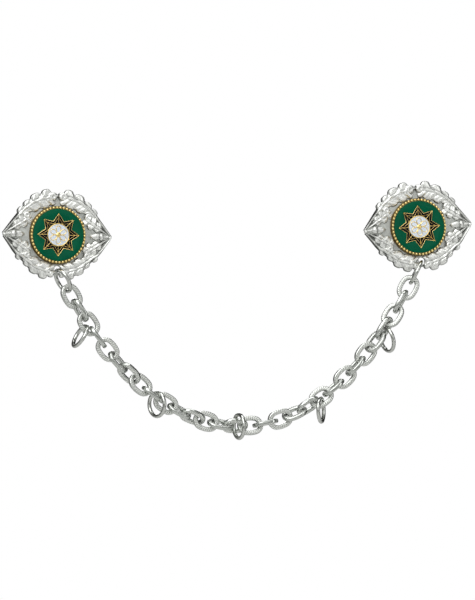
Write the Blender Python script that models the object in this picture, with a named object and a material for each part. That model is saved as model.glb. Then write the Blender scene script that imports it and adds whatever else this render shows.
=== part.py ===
"""Order chain: two oak-leaf brooches with enamelled medallions, joined by a hanging chain of oval
links that carries five jump rings for orders.

Metres, +Z up, the front faces -Y. The origin lies midway between the brooch centres, in the plane
of their backs. Shares in the tables below are shares of the named sizes beside them.
"""

import math

import bmesh
import bpy
from mathutils import Matrix, Vector

MM = 0.001
WELD = 0.001 * MM

# Brooches: where they are pinned
BROOCH_SPAN = 164.0 * MM
BROOCH_STEP = 5.2 * MM
LEFT_TURN = math.radians(1.6)
RIGHT_TURN = math.radians(-4.5)

# Rosette casting
ROSETTE_LENGTH = 50.0 * MM
ROSETTE_HEIGHT = 39.4 * MM
PLATE_THICKNESS = 1.3 * MM
LEAF_FOOT = 0.35 * MM
LEAF_EDGE_HEIGHT = 1.75 * MM
LEAF_NOTCH_HEIGHT = 1.45 * MM
LEAF_RIB_HEIGHT = 2.6 * MM
LEAF_REACH = 4.0 * MM
TIP_THINNING = 0.35
TIP_SHARE = 0.25
LONG_LEAF_STATIONS = 26
SHORT_LEAF_STATIONS = 13
ACORN_LENGTH = 8.6 * MM
ACORN_RADIUS = 1.45 * MM
ACORN_DEPTH = 1.5 * MM
ACORN_SIDES = 8
HOLE_RADIUS = 1.55 * MM
HOLE_SIDES = 14
HOLE_OFFSET = 0.5 * MM
HOLE_PLACE = 0.48
REST_WIDTH = 10.0 * MM
REST_HEIGHT = 6.0 * MM
REST_DROP = 5.0 * MM

# Medallion
MEDALLION_DIAMETER = 25.0 * MM
MEDALLION_BACK_DIAMETER = 24.2 * MM
MEDALLION_THICKNESS = 2.2 * MM
SEAT_GAP = 0.3 * MM
BEAD_COUNT = 50
BEAD_BAND = 1.15 * MM
BEAD_RISE = 0.8 * MM
BEAD_DIP = 0.3 * MM
BEAD_PINCH = 0.23 * MM
CELL_DEPTH = 0.55 * MM
CELL_GAP = 0.15 * MM
WALL_WIDTH = 0.4 * MM
WALL_ROOT = 0.4 * MM
STAR_POINTS = 8
STAR_SHARE = 0.75
STAR_WAIST_SHARE = 0.5
HUB_SHARE = 0.385
BOSS_SHARE = 0.09
ROUND_SIDES = 32
FIELD_SIDES = 40
BOSS_SIDES = 14

# Pin on the back
PIN_LENGTH = 30.0 * MM
PIN_WIRE = 1.2 * MM
PIN_STANDOFF = 3.0 * MM
PIN_RISE = 6.0 * MM

# Chain
LINK_COUNT = 30
LINK_LENGTH = 11.65 * MM
LINK_WIDTH = 8.8 * MM
LINK_WIRE = 2.1 * MM
LINK_FULLNESS = 2.4
LINK_FLAT = 0.5
LINK_SLACK = 0.4 * MM
LOOSE_SLACK = 0.7 * MM
LOOSE_LINK = 11.6
LOOSE_SPREAD = 2.0
RING_DIAMETER = 12.0 * MM
RING_WIRE = 1.7 * MM
RING_FULLNESS = 2.0
RING_SIDES = 6
RING_SLACK = 0.1 * MM
RING_BITE = 0.3 * MM
ROUTE_ROUNDS = 4
SAG_RANGE = 50.0
SAG_HALVINGS = 200
LOOP_SEGMENTS = 16
CONNECTOR_ROLL = math.radians(80.0)

# How far each link is rolled about the chain, from facing the front, in degrees
LINK_ROLLS = (
    (-8, 85, 0, -75, 14, -55, 55, -14, 101, 2)
    + (-60, 60, 0, -62, 53, -14, 88, 11, -59, 52)
    + (-17, -86, 8, -84, 10, -59, 51, -30, 68, -15)
)

# Each order ring hangs on an arm of a link. Place is where the arm passes through the ring, round
# the link from its leading end; bearing is where it lies inside the ring, from the ring's top, and
# reach its distance from the ring's middle, in shares of the ring's inner radius. Lean is the
# ring's tilt to the right, sway its tilt backwards and turn its turn from facing the front. Angles
# are in degrees.
RING_COLUMNS = ("link", "place", "bearing", "reach", "lean", "sway", "turn")
RINGS = (
    (3, 282, 72, 0.70, -22, -50, 80),
    (9, 58, 19, 0.66, -4, 15, 65),
    (15, 88, -18, 0.68, 4, -13, 80),
    (21, 247, 54, 0.58, 9, 15, -59),
    (27, 253, -77, 0.62, -1, 47, 68),
)

# Leaves of the right half of a rosette. A spine runs from the side tip along the midrib, in shares
# of half the rosette's length and height. A waist is the leaf's least reach from the spine, and
# each lobe bulges from it: (share along the spine, half width as such a share, reach). Reaches are
# shares of LEAF_REACH, the outer ones on the rosette's outline, the inner ones facing the medallion.
UPPER_LEAF = {
    "spine": (
        (0.968, 0.041),
        (0.772, 0.325),
        (0.588, 0.574),
        (0.408, 0.736),
        (0.224, 0.817),
        (0.036, 0.863),
    ),
    "waist": ((0.0, 0.07), (0.3, 0.22), (0.6, 0.38), (0.85, 0.45), (1.0, 0.2)),
    "outer": (
        (0.42, 0.065, 0.51),
        (0.545, 0.07, 0.6),
        (0.69, 0.085, 0.8),
        (0.845, 0.08, 0.93),
        (0.965, 0.05, 0.55),
    ),
    "inner": ((0.45, 0.09, 0.36), (0.60, 0.085, 0.83), (0.785, 0.09, 0.9), (0.94, 0.07, 0.66)),
}
UPPER_INNER_LEAF = {
    "spine": ((0.90, 0.08), (0.77, 0.17), (0.66, 0.255), (0.57, 0.33), (0.50, 0.38)),
    "waist": ((0.0, 0.08), (0.5, 0.22), (1.0, 0.2)),
    "outer": ((0.45, 0.14, 0.42), (0.73, 0.14, 0.55), (0.95, 0.1, 0.45)),
    "inner": ((0.40, 0.12, 0.36), (0.69, 0.14, 0.52), (0.93, 0.12, 0.5)),
}
LOWER_INNER_LEAF = {
    "spine": ((0.895, -0.07), (0.77, -0.165), (0.67, -0.245), (0.585, -0.305), (0.52, -0.345)),
    "waist": ((0.0, 0.08), (0.5, 0.22), (1.0, 0.2)),
    "outer": ((0.40, 0.12, 0.3), (0.65, 0.14, 0.47), (0.90, 0.12, 0.47)),
    "inner": ((0.50, 0.15, 0.45), (0.80, 0.15, 0.58), (0.96, 0.1, 0.4)),
}
LOWER_LEAF = {
    "spine": (
        (0.944, -0.061),
        (0.84, -0.244),
        (0.736, -0.401),
        (0.576, -0.543),
        (0.412, -0.695),
        (0.256, -0.772),
        (0.12, -0.797),
    ),
    "waist": ((0.0, 0.07), (0.3, 0.2), (0.55, 0.3), (0.85, 0.42), (1.0, 0.25)),
    "outer": (
        (0.41, 0.06, 0.53),
        (0.585, 0.07, 0.58),
        (0.735, 0.085, 0.8),
        (0.895, 0.085, 0.95),
        (0.985, 0.05, 0.55),
    ),
    "inner": ((0.5, 0.08, 0.3), (0.665, 0.09, 0.66), (0.87, 0.09, 0.6)),
}
LEAVES = {
    "upper": (UPPER_LEAF, LONG_LEAF_STATIONS),
    "upper_inner": (UPPER_INNER_LEAF, SHORT_LEAF_STATIONS),
    "lower_inner": (LOWER_INNER_LEAF, SHORT_LEAF_STATIONS),
    "lower": (LOWER_LEAF, LONG_LEAF_STATIONS),
}

# The plate behind the leaves, right half from the top down, in shares of half length and height
PLATE_OUTLINE = (
    ((0.0, 0.895), (0.11, 0.88), (0.23, 0.85), (0.42, 0.75), (0.60, 0.575), (0.78, 0.335))
    + ((0.97, 0.0), (0.85, -0.235), (0.74, -0.4), (0.58, -0.56), (0.41, -0.72))
    + ((0.26, -0.845), (0.12, -0.885), (0.0, -0.89))
)

# An acorn from its point to its stem: share of its length, share of its radius
ACORN_PROFILE = (
    ((0.0, 0.0), (0.06, 0.38), (0.2, 0.82), (0.36, 0.98), (0.52, 0.92))
    + ((0.54, 1.12), (0.66, 1.05), (0.74, 0.42), (1.0, 0.3), (1.0, 0.0))
)
ACORN_POINT = 0.585

HALF_LENGTH = ROSETTE_LENGTH / 2
HALF_HEIGHT = ROSETTE_HEIGHT / 2
RIM_RADIUS = MEDALLION_DIAMETER / 2
PLATE_DROP = -PLATE_OUTLINE[-1][1] * HALF_HEIGHT
HOLE_DROP = RIM_RADIUS + HOLE_PLACE * (PLATE_DROP - RIM_RADIUS)
MEDALLION_BACK = PLATE_THICKNESS + SEAT_GAP
CELL_FLOOR = MEDALLION_BACK + MEDALLION_THICKNESS - CELL_DEPTH
ENAMEL_BACK = CELL_FLOOR + CELL_GAP
ENAMEL_FRONT = CELL_FLOOR + CELL_DEPTH
WALL_TOP = ENAMEL_FRONT + CELL_GAP
STAR_DIAMETER = STAR_SHARE * MEDALLION_DIAMETER
STAR_WAIST_DIAMETER = STAR_WAIST_SHARE * MEDALLION_DIAMETER
HUB_DIAMETER = HUB_SHARE * MEDALLION_DIAMETER
BOSS_DIAMETER = BOSS_SHARE * MEDALLION_DIAMETER
RING_INNER = RING_DIAMETER - 2 * RING_WIRE
LINK_INNER = LINK_LENGTH - 2 * LINK_WIRE


def make_material(name, colour, metallic, roughness):
    material = bpy.data.materials.new(name)
    material.use_nodes = True
    shader = material.node_tree.nodes["Principled BSDF"]
    shader.inputs["Base Color"].default_value = (*colour, 1.0)
    shader.inputs["Metallic"].default_value = metallic
    shader.inputs["Roughness"].default_value = roughness
    return material


def add_object(name, mesh, material, placement):
    """An object of its own. A mesh shared by several objects keeps its first material."""
    thing = bpy.data.objects.new(name, mesh)
    if not mesh.materials:
        mesh.materials.append(material)
    bpy.context.scene.collection.objects.link(thing)
    thing.matrix_world = placement
    return thing


# Meshes


def finished(name, shape, sharp_angle=math.radians(35)):
    """The mesh of a closed shape, its faces pointing out, shaded smooth across shallow edges."""
    bmesh.ops.recalc_face_normals(shape, faces=shape.faces)
    mesh = bpy.data.meshes.new(name)
    shape.to_mesh(mesh)
    shape.free()
    mesh.shade_smooth()
    mesh.set_sharp_from_angle(angle=sharp_angle)
    return mesh


def plate_between(name, outline, back, front):
    """A plate with an outline of (x, z) points, between two heights above the brooch's back."""
    shape = bmesh.new()
    face = shape.faces.new([shape.verts.new((x, -back, z)) for x, z in outline])
    grown = bmesh.ops.extrude_face_region(shape, geom=[face])["geom"]
    moved = [item for item in grown if isinstance(item, bmesh.types.BMVert)]
    bmesh.ops.translate(shape, verts=moved, vec=(0.0, back - front, 0.0))
    return finished(name, shape)


def band_between(name, outer, inner, back, front):
    """A band between an outer and an inner outline with equally many corners."""
    shape = bmesh.new()
    loops = []
    for outline, depth in ((outer, back), (outer, front), (inner, front), (inner, back)):
        loops.append([shape.verts.new((x, -depth, z)) for x, z in outline])
    join_loops(shape, loops + loops[:1])
    return finished(name, shape)


def join_loops(shape, loops):
    """Faces between each closed loop of corners and the next."""
    for here, there in zip(loops, loops[1:]):
        count = len(here)
        for corner in range(count):
            beside = (corner + 1) % count
            shape.faces.new((here[corner], here[beside], there[beside], there[corner]))


def loop_point(length, width, fullness, angle):
    """A point on an oval in the XY plane, and the direction straight out of the oval there.

    A fullness of 2 gives an ellipse or a circle, and a higher one gives blunter ends.
    """
    along = math.copysign(abs(math.cos(angle)) ** (2 / fullness), math.cos(angle))
    across = math.copysign(abs(math.sin(angle)) ** (2 / fullness), math.sin(angle))
    outward = Vector(
        (
            math.copysign(abs(along) ** (fullness - 1), along) / length,
            math.copysign(abs(across) ** (fullness - 1), across) / width,
            0.0,
        )
    )
    return Vector((length / 2 * along, width / 2 * across, 0.0)), outward.normalized()


def loop_mesh(name, length, width, wire, fullness, section):
    """A closed loop of wire in the XY plane, swept by a section given in shares of half the wire."""
    shape = bmesh.new()
    loops = []
    for step in range(LOOP_SEGMENTS):
        angle = 2 * math.pi * step / LOOP_SEGMENTS
        centre, outward = loop_point(length - wire, width - wire, fullness, angle)
        loop = []
        for out_share, up_share in section:
            corner = centre + outward * (out_share * wire / 2)
            corner.z = up_share * wire / 2
            loop.append(shape.verts.new(corner))
        loops.append(loop)
    join_loops(shape, loops + loops[:1])
    return finished(name, shape)


def flat_section():
    """A link's section, in shares of half the wire: flat in front and behind, blunt inside and out."""
    front = [(LINK_FLAT, 1.0), (1.0, 0.0), (LINK_FLAT, -1.0)]
    return front + [(-out_share, -up_share) for out_share, up_share in front]


def round_section(sides):
    """The corners of a round wire's section, in shares of half the wire."""
    angles = [2 * math.pi * (corner + 1) / sides for corner in range(sides)]
    return [(math.cos(angle), math.sin(angle)) for angle in angles]


# Rosette


def along_table(table, share):
    """The value at a share along a table of (share, value) rows, on straight lines between them."""
    for (low, low_value), (high, high_value) in zip(table, table[1:]):
        if share <= high:
            return low_value + (high_value - low_value) * (share - low) / (high - low)
    return table[-1][1]


def spine_points(spine, count, side):
    """Evenly spaced (point, direction) pairs along a leaf's midrib."""
    knots = [Vector((side * u * HALF_LENGTH, v * HALF_HEIGHT)) for u, v in spine]
    lengths = [0.0]
    for first, second in zip(knots, knots[1:]):
        lengths.append(lengths[-1] + (second - first).length)
    points = []
    for step in range(count):
        goal = lengths[-1] * step / (count - 1)
        part = max(index for index in range(len(knots) - 1) if lengths[index] <= goal + WELD)
        share = (goal - lengths[part]) / (lengths[part + 1] - lengths[part])
        points.append(smooth_point(knots, part, share))
    directions = [points[min(i + 1, count - 1)] - points[max(i - 1, 0)] for i in range(count)]
    return [(point, direction.normalized()) for point, direction in zip(points, directions)]


def smooth_point(knots, part, share):
    """A point between two knots on a smooth curve through all of them."""
    before = knots[max(part - 1, 0)]
    first = knots[part]
    second = knots[part + 1]
    after = knots[min(part + 2, len(knots) - 1)]
    slope_in = (second - before) / 2
    slope_out = (after - first) / 2
    return (
        first * (2 * share**3 - 3 * share**2 + 1)
        + slope_in * (share**3 - 2 * share**2 + share)
        + second * (3 * share**2 - 2 * share**3)
        + slope_out * (share**3 - share**2)
    )


def lobe_reach(leaf, edge, share):
    """How far the leaf reaches from its spine, and how much of that is lobe, from 0 to 1."""
    waist = along_table(leaf["waist"], share)
    bulge = 0.0
    reach = waist
    for centre, half_width, lobe in leaf[edge]:
        offset = (share - centre) / half_width
        if abs(offset) < 1 and lobe * math.sqrt(1 - offset**2) > reach:
            reach = lobe * math.sqrt(1 - offset**2)
            bulge = math.sqrt(1 - offset**2)
    return reach * LEAF_REACH, bulge


def leaf_mesh(name, leaf, stations, side):
    """A lobed leaf with a raised midrib, standing on the plate."""
    shape = bmesh.new()
    loops = []
    for step, (point, direction) in enumerate(spine_points(leaf["spine"], stations, side)):
        share = step / (stations - 1)
        across = Vector((-direction.y, direction.x))
        if across.dot(point) < 0:
            across = -across
        thin = 1.0 - TIP_THINNING * max(0.0, 1.0 - share / TIP_SHARE)
        edges = []
        for edge, sign in (("outer", 1), ("inner", -1)):
            reach, bulge = lobe_reach(leaf, edge, share)
            height = (LEAF_NOTCH_HEIGHT + (LEAF_EDGE_HEIGHT - LEAF_NOTCH_HEIGHT) * bulge) * thin
            place = point + across * (sign * reach)
            edges.append([Vector((place.x, -depth, place.y)) for depth in (LEAF_FOOT, height)])
        rib = Vector((point.x, -LEAF_RIB_HEIGHT * thin, point.y))
        (outer_foot, outer_top), (inner_foot, inner_top) = edges
        loops.append([shape.verts.new(co) for co in (outer_foot, outer_top, rib, inner_top, inner_foot)])
    join_loops(shape, loops)
    shape.faces.new(loops[0])
    shape.faces.new(loops[-1])
    return finished(name, shape)


def acorn_mesh(name, side):
    """An acorn turned about the rosette's long axis, point towards the medallion."""
    shape = bmesh.new()
    start = Vector((side * ACORN_POINT * HALF_LENGTH, -ACORN_DEPTH, 0.0))
    corners = []
    for along, radius in ACORN_PROFILE:
        corners.append(
            shape.verts.new(start + Vector((side * along * ACORN_LENGTH, 0.0, radius * ACORN_RADIUS)))
        )
    edges = [shape.edges.new(pair) for pair in zip(corners, corners[1:])]
    turn = {"cent": start, "axis": (1.0, 0.0, 0.0), "angle": 2 * math.pi, "steps": ACORN_SIDES}
    bmesh.ops.spin(shape, geom=corners + edges, **turn)
    bmesh.ops.remove_doubles(shape, verts=shape.verts, dist=WELD)
    return finished(name, shape)


def plate_mesh():
    """The plate, its flat back divided round a rectangle where it lies on the cloth."""
    right = [(u * HALF_LENGTH, v * HALF_HEIGHT) for u, v in PLATE_OUTLINE]
    left = [(-x, z) for x, z in reversed(right[1:-1])]
    mesh = plate_between("plate", right + left, 0.0, PLATE_THICKNESS)
    shape = bmesh.new()
    shape.from_mesh(mesh)
    for sign in (-1, 1):
        for place, direction in (
            ((0.0, 0.0, -REST_DROP + sign * REST_HEIGHT / 2), (0.0, 0.0, 1.0)),
            ((sign * REST_WIDTH / 2, 0.0, 0.0), (1.0, 0.0, 0.0)),
        ):
            parts = list(shape.verts) + list(shape.edges) + list(shape.faces)
            bmesh.ops.bisect_plane(shape, geom=parts, plane_co=place, plane_no=direction)
    shape.to_mesh(mesh)
    shape.free()
    return mesh


def hole_mesh():
    """The cutter for the hole that the connector ring passes through."""
    outline = []
    for corner in range(HOLE_SIDES):
        angle = 2 * math.pi * corner / HOLE_SIDES
        outline.append(
            (HOLE_OFFSET + HOLE_RADIUS * math.cos(angle), -HOLE_DROP + HOLE_RADIUS * math.sin(angle))
        )
    return plate_between("connector_hole", outline, -PLATE_THICKNESS, 2 * LEAF_RIB_HEIGHT)


def joined_mesh(name, base, operands):
    """The mesh of a base shape after exact booleans with each (mesh, operation) in turn."""
    body = bpy.data.objects.new(name + "_base", base)
    helpers = [body]
    bpy.context.scene.collection.objects.link(body)
    for mesh, operation in operands:
        tool = bpy.data.objects.new(mesh.name + "_tool", mesh)
        bpy.context.scene.collection.objects.link(tool)
        tool.hide_render = True
        tool.display_type = "WIRE"
        helpers.append(tool)
        cut = body.modifiers.new(mesh.name, "BOOLEAN")
        cut.operation = operation
        cut.solver = "EXACT"
        cut.object = tool
    graph = bpy.context.evaluated_depsgraph_get()
    result = bpy.data.meshes.new_from_object(body.evaluated_get(graph))
    result.name = name
    for helper in helpers:
        bpy.data.objects.remove(helper)
    result.shade_smooth()
    result.set_sharp_from_angle(angle=math.radians(35))
    return result


def rosette_mesh():
    """The casting: plate, leaves and acorns as one solid, with the connector hole cut through."""
    operands = []
    for side_name, side in (("right", 1), ("left", -1)):
        for leaf_name, (leaf, stations) in LEAVES.items():
            operands.append((leaf_mesh(f"{leaf_name}_{side_name}", leaf, stations, side), "UNION"))
        operands.append((acorn_mesh(f"acorn_{side_name}", side), "UNION"))
    operands.append((hole_mesh(), "DIFFERENCE"))
    return joined_mesh("rosette", plate_mesh(), operands)


# Medallion


def circle(diameter, sides, turn=0.0):
    angles = [2 * math.pi * corner / sides + turn for corner in range(sides)]
    return [(diameter / 2 * math.cos(angle), diameter / 2 * math.sin(angle)) for angle in angles]


def star(grow):
    """The star's outline with a point straight up, moved outwards by a distance all round."""
    outline = []
    for corner in range(2 * STAR_POINTS):
        diameter = STAR_DIAMETER if corner % 2 == 0 else STAR_WAIST_DIAMETER
        angle = math.pi / 2 + math.pi * corner / STAR_POINTS
        outline.append(Vector((diameter / 2 * math.cos(angle), diameter / 2 * math.sin(angle))))
    moved = []
    for corner, point in enumerate(outline):
        before = (point - outline[corner - 1]).normalized()
        after = (outline[(corner + 1) % len(outline)] - point).normalized()
        mitre = Vector((before.y + after.y, -before.x - after.x)).normalized()
        moved.append(point + mitre * (grow / mitre.dot(Vector((before.y, -before.x)))))
    return [(point.x, point.y) for point in moved]


def medallion_disc():
    """A disc with a bevelled wall and a rim of beads round a sunk floor."""
    steps = 2 * BEAD_COUNT
    outer = RIM_RADIUS
    inner = outer - BEAD_BAND
    shape = bmesh.new()
    rings = [[], [], [], []]
    for step in range(steps):
        angle = math.pi * step / BEAD_COUNT
        aside = Vector((math.cos(angle), 0.0, math.sin(angle)))
        bead = step % 2 == 0
        rise = BEAD_RISE if bead else BEAD_DIP
        tuck = 0.0 if bead else BEAD_PINCH
        rows = (
            (MEDALLION_BACK_DIAMETER / 2, MEDALLION_BACK),
            (outer - tuck, CELL_FLOOR + BEAD_DIP / 2),
            ((outer + inner) / 2, CELL_FLOOR + rise),
            (inner + tuck, CELL_FLOOR),
        )
        for ring, (radius, depth) in zip(rings, rows):
            ring.append(shape.verts.new(aside * radius - Vector((0.0, depth, 0.0))))
    join_loops(shape, rings)
    shape.faces.new(rings[0])
    shape.faces.new(rings[-1])
    return finished("medallion_disc", shape)


def medallion_mesh():
    """The gilt metal: the disc, the wall round the star, the wall round the hub and the boss."""
    root = CELL_FLOOR - WALL_ROOT
    half = WALL_WIDTH / 2
    walls = (
        band_between("star_wall", star(half), star(-half), root, WALL_TOP),
        band_between(
            "hub_wall",
            circle(HUB_DIAMETER + WALL_WIDTH, ROUND_SIDES),
            circle(HUB_DIAMETER - WALL_WIDTH, ROUND_SIDES),
            root,
            WALL_TOP,
        ),
        plate_between("boss", circle(BOSS_DIAMETER, BOSS_SIDES), root, WALL_TOP),
    )
    return joined_mesh("medallion", medallion_disc(), [(wall, "UNION") for wall in walls])


def enamel_mesh(name, outer, inner):
    """Enamel between two outlines, which may differ in their number of corners."""
    body = plate_between(name + "_body", outer, ENAMEL_BACK, ENAMEL_FRONT)
    opening = plate_between(name + "_opening", inner, ENAMEL_BACK - CELL_GAP, ENAMEL_FRONT + CELL_GAP)
    return joined_mesh(name, body, [(opening, "DIFFERENCE")])


def enamel_meshes():
    edge = WALL_WIDTH / 2 + CELL_GAP
    field = MEDALLION_DIAMETER - 2 * BEAD_BAND - 2 * CELL_GAP
    return {
        "green": enamel_mesh("enamel_green", circle(field, FIELD_SIDES), star(edge)),
        "black": enamel_mesh("enamel_black", star(-edge), circle(HUB_DIAMETER + 2 * edge, ROUND_SIDES)),
        "white": enamel_mesh(
            "enamel_white",
            circle(HUB_DIAMETER - 2 * edge, ROUND_SIDES),
            circle(BOSS_DIAMETER + 2 * CELL_GAP, BOSS_SIDES),
        ),
    }


def pin_mesh():
    """The pin across the back with its two feet, one bent wire."""
    spline_points = (
        (-PIN_LENGTH / 2, SEAT_GAP, PIN_RISE),
        (-PIN_LENGTH / 2, PIN_STANDOFF, PIN_RISE),
        (PIN_LENGTH / 2, PIN_STANDOFF, PIN_RISE),
        (PIN_LENGTH / 2, SEAT_GAP, PIN_RISE),
    )
    curve = bpy.data.curves.new("pin_path", "CURVE")
    curve.dimensions = "3D"
    curve.bevel_depth = PIN_WIRE / 2
    curve.bevel_resolution = 2
    curve.use_fill_caps = True
    spline = curve.splines.new("POLY")
    spline.points.add(len(spline_points) - 1)
    for point, place in zip(spline.points, spline_points):
        point.co = (*place, 1.0)
    path = bpy.data.objects.new("pin_path", curve)
    bpy.context.scene.collection.objects.link(path)
    mesh = bpy.data.meshes.new_from_object(path.evaluated_get(bpy.context.evaluated_depsgraph_get()))
    mesh.name = "brooch_pin"
    bpy.data.objects.remove(path)
    return mesh


def brooch_placements():
    """The left and the right brooch's place: half the span to each side, each with its own turn."""
    placements = {}
    for name, side, turn in (("left", -1, LEFT_TURN), ("right", 1, RIGHT_TURN)):
        place = Vector((side * BROOCH_SPAN / 2, 0.0, side * BROOCH_STEP / 2))
        placements[name] = Matrix.Translation(place) @ Matrix.Rotation(turn, 4, "Y")
    return placements


def add_brooches(materials):
    meshes = {
        "rosette": (rosette_mesh(), "silver"),
        "medallion": (medallion_mesh(), "gilt"),
        "brooch_pin": (pin_mesh(), "steel"),
    }
    for colour, mesh in enamel_meshes().items():
        meshes["enamel_" + colour] = (mesh, colour)
    for side, placement in brooch_placements().items():
        carrier = bpy.data.objects.new("brooch_" + side, None)
        bpy.context.scene.collection.objects.link(carrier)
        carrier.matrix_world = placement
        for name, (mesh, material) in meshes.items():
            piece = add_object(f"{name}_{side}", mesh, materials[material], Matrix.Identity(4))
            piece.parent = carrier


# Chain


def hang_points(pulls):
    """Where the connector rings bear: on the side of each rosette's hole that the chain pulls towards."""
    points = []
    for placement, pull in zip(brooch_placements().values(), pulls):
        middle = placement @ Vector((HOLE_OFFSET, -PLATE_THICKNESS / 2, -HOLE_DROP))
        points.append(middle + pull * (HOLE_RADIUS - RING_BITE))
    return points


def link_pitches():
    """The distance that each link takes up: its inner length less the slack, more at the loose link."""
    pitches = []
    for index in range(LINK_COUNT):
        loose = LOOSE_SLACK * math.exp(-(((index - LOOSE_LINK) / LOOSE_SPREAD) ** 2))
        pitches.append(LINK_INNER - LINK_SLACK - loose)
    return pitches


def catenary(start, end, length):
    """The hanging curve of a given length: its scale, and the X and Z of its lowest point."""
    across = end.x - start.x
    rise = end.z - start.z
    chord = math.sqrt(length**2 - rise**2)
    low = across / SAG_RANGE
    high = across * SAG_RANGE
    for _ in range(SAG_HALVINGS):
        scale = math.sqrt(low * high)
        if 2 * scale * math.sinh(across / (2 * scale)) > chord:
            low = scale
        else:
            high = scale
    left_part = (across - scale * math.log((length + rise) / (length - rise))) / 2
    lowest_x = start.x + left_part
    lowest_z = start.z - scale * (math.cosh(left_part / scale) - 1)
    return scale, lowest_x, lowest_z


def chain_route():
    """The centre and direction of each element in turn: a connector, the links, a connector."""
    ring_pitch = RING_INNER - RING_SLACK
    pitches = [ring_pitch] + link_pitches() + [ring_pitch]
    pulls = [Vector((0.0, 0.0, -1.0))] * 2
    for _ in range(ROUTE_ROUNDS):
        start, end = hang_points(pulls)
        scale, lowest_x, lowest_z = catenary(start, end, sum(pitches))
        travelled = scale * math.sinh((start.x - lowest_x) / scale)
        route = []
        for pitch in pitches:
            run = travelled + pitch / 2
            height = lowest_z + math.hypot(scale, run) - scale
            centre = Vector((lowest_x + scale * math.asinh(run / scale), start.y, height))
            route.append((centre, Vector((scale, 0.0, run)).normalized()))
            travelled += pitch
        pulls = [route[0][1], -route[-1][1]]
    return route


def loop_placement(centre, direction, roll):
    """A loop with its length along a direction, rolled about it from facing the front."""
    front = Vector((0.0, -1.0, 0.0))
    front = (front - direction * front.dot(direction)).normalized()
    normal = front * math.cos(roll) + direction.cross(front) * math.sin(roll)
    across = normal.cross(direction)
    turned = Matrix((direction, across, normal)).transposed().to_4x4()
    return Matrix.Translation(centre) @ turned


def link_placements():
    route = chain_route()[1:-1]
    return [
        loop_placement(centre, direction, math.radians(roll))
        for (centre, direction), roll in zip(route, LINK_ROLLS)
    ]


def ring_placement(link_place, row):
    """An order ring's place, from where the arm of its link passes through it."""
    angle = math.radians(row["place"])
    middle, _ = loop_point(LINK_LENGTH - LINK_WIRE, LINK_WIDTH - LINK_WIRE, LINK_FULLNESS, angle)
    arm = link_place @ middle
    lean = math.radians(row["lean"])
    sway = math.radians(row["sway"])
    down = Vector((math.sin(lean) * math.cos(sway), math.sin(sway), -math.cos(lean) * math.cos(sway)))
    bearing = math.radians(row["bearing"])
    inside = Vector((-math.cos(bearing), math.sin(bearing), 0.0)) * (RING_INNER / 2 * row["reach"])
    turned = loop_placement(Vector((0.0, 0.0, 0.0)), down, math.radians(row["turn"]))
    return Matrix.Translation(arm - turned @ inside) @ turned


def add_chain(materials):
    link = loop_mesh("link", LINK_LENGTH, LINK_WIDTH, LINK_WIRE, LINK_FULLNESS, flat_section())
    round_wire = round_section(RING_SIDES)
    ring = loop_mesh("ring", RING_DIAMETER, RING_DIAMETER, RING_WIRE, RING_FULLNESS, round_wire)
    route = chain_route()
    for name, (centre, direction) in (("left", route[0]), ("right", route[-1])):
        placement = loop_placement(centre, direction, CONNECTOR_ROLL)
        add_object("connector_ring_" + name, ring, materials["silver"], placement)
    places = link_placements()
    for number, placement in enumerate(places, start=1):
        add_object(f"link_{number:02d}", link, materials["silver"], placement)
    for number, values in enumerate(RINGS, start=1):
        row = dict(zip(RING_COLUMNS, values))
        placement = ring_placement(places[row["link"] - 1], row)
        add_object(f"order_ring_{number}", ring, materials["silver"], placement)


def main():
    for thing in list(bpy.data.objects):
        bpy.data.objects.remove(thing)
    materials = {
        "silver": make_material("silver_plate", (0.78, 0.79, 0.78), 1.0, 0.28),
        "gilt": make_material("gilding", (0.85, 0.58, 0.24), 1.0, 0.28),
        "steel": make_material("pin_steel", (0.55, 0.55, 0.55), 1.0, 0.35),
        "green": make_material("green_enamel", (0.0, 0.11, 0.05), 0.0, 0.12),
        "black": make_material("black_enamel", (0.01, 0.011, 0.014), 0.0, 0.12),
        "white": make_material("white_enamel", (0.76, 0.83, 0.92), 0.0, 0.12),
    }
    add_brooches(materials)
    add_chain(materials)


main()
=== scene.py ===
import math

import bmesh
import bpy
import numpy as np
from mathutils import Matrix, Vector


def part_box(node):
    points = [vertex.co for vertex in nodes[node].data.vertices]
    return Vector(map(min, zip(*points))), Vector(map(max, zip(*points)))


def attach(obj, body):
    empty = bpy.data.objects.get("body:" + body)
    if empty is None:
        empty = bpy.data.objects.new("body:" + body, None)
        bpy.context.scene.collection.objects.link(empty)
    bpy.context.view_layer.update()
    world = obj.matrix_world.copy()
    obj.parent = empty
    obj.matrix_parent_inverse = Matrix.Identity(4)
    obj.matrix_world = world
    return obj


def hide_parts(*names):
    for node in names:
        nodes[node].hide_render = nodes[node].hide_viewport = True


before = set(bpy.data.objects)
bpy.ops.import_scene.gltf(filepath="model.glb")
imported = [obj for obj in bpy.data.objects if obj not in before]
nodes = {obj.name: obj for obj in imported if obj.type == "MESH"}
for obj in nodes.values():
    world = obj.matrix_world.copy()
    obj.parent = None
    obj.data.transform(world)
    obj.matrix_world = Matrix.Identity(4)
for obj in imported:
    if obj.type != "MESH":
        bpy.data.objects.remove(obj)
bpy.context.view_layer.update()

mm = 0.001
weld = 0.002 * mm  # corners closer than this are merged
near = 0.01 * mm  # an edge this close to a plane lies in it
toFront = (math.pi / 2, 0, 0)  # turns what lies flat to face the front


def only(thing):
    # the one selected and active object
    bpy.ops.object.select_all(action="DESELECT")
    thing.select_set(True)
    bpy.context.view_layer.objects.active = thing


def newest(name):
    # the new object under its name, with its place and turn taken into its mesh
    thing = bpy.context.view_layer.objects.active
    thing.name = name
    thing.data.name = name
    only(thing)
    bpy.ops.object.transform_apply(location=True, rotation=True, scale=True)
    return thing


def added(name, data):
    # a new object with this data, in the scene
    thing = bpy.data.objects.new(name, data)
    bpy.context.scene.collection.objects.link(thing)
    return thing


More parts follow.
